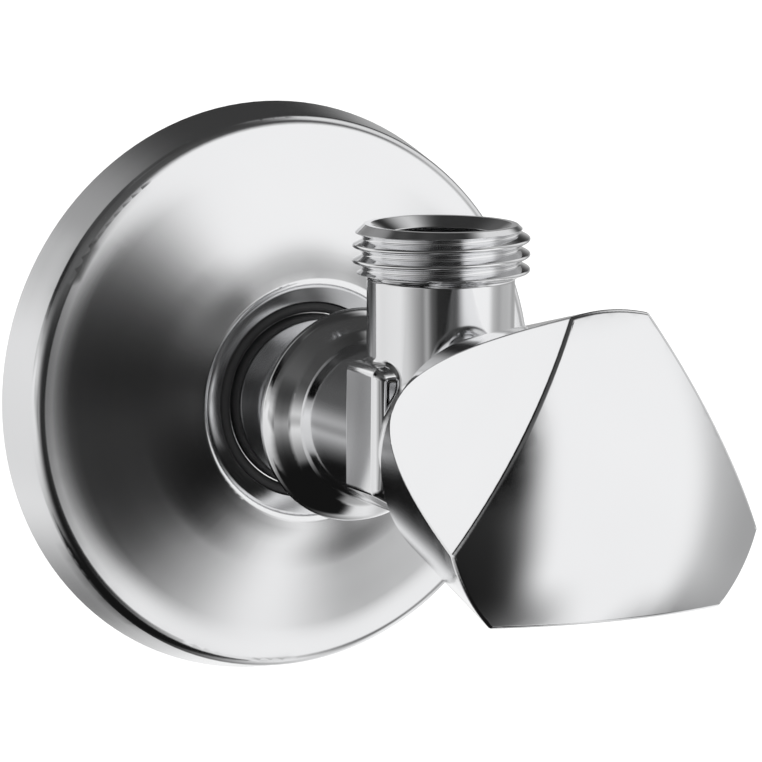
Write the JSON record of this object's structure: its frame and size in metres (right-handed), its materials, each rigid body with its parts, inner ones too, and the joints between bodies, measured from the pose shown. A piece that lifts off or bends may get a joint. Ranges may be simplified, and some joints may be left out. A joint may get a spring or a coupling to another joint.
{
  "type": "angle stop valve",
  "caption": "Chrome angle stop valve with a threaded wall inlet, threaded upward outlet, sliding wall plate and three-sided knob.",
  "frame": {"origin": "on the inlet axis, in the plane of the finished wall, where the wall plate rests", "axes": "+Y along the inlet into the wall, -Y towards the knob, +Z along the outlet, up, +X to the right of a viewer who faces the wall"},
  "size_m": [0.0722, 0.1033, 0.0722],
  "materials": {
    "body_chrome": "polished chrome plate on brass",
    "plate_chrome": "polished chrome plate on spun brass",
    "knob_chrome": "polished chrome plate on zinc",
    "black_rubber": "matt black rubber",
    "steel": "plain steel",
    "white_plastic": "white engineering plastic",
    "brass": "machined brass",
    "brass_turned": "fine turned brass",
    "fibre": "red fibre sheet"
  },
  "bodies": {
    "valve": {"valve_body": "body_chrome", "seat_ring": "steel", "inlet_sealing_ring": "white_plastic", "bonnet_housing": "brass", "bonnet_gasket": "fibre"},
    "wall_plate": {"escutcheon": "plate_chrome", "escutcheon_grip_ring": "black_rubber"},
    "handle": {"handle_shell": "knob_chrome", "handle_insert": "white_plastic", "handle_clip": "steel", "spindle": "brass_turned", "spindle_o_ring_rear": "black_rubber", "spindle_o_ring_front": "black_rubber", "thrust_washer": "white_plastic", "spindle_retaining_ring": "steel"},
    "slider": {"valve_plug": "brass", "seat_washer": "black_rubber", "washer_screw": "steel"}
  },
  "joints": [
    {"name": "handle_turn", "type": "hinge", "parent": "valve", "child": "handle", "pos_m": [0, -0.0655, 0], "axis": [0, -1, 0], "range_deg": [0, 900]},
    {"name": "plug_travel", "type": "slide", "parent": "valve", "child": "slider", "axis": [0, -1, 0], "range_m": [0, 0.00375]},
    {"name": "plate_slide", "type": "slide", "parent": "valve", "child": "wall_plate", "axis": [0, -1, 0], "range_m": [0, 0.0085]}
  ],
  "couplings": [
    {"joint": "plug_travel", "follows": "handle_turn", "m_per_rad": 0.00023873}
  ]
}
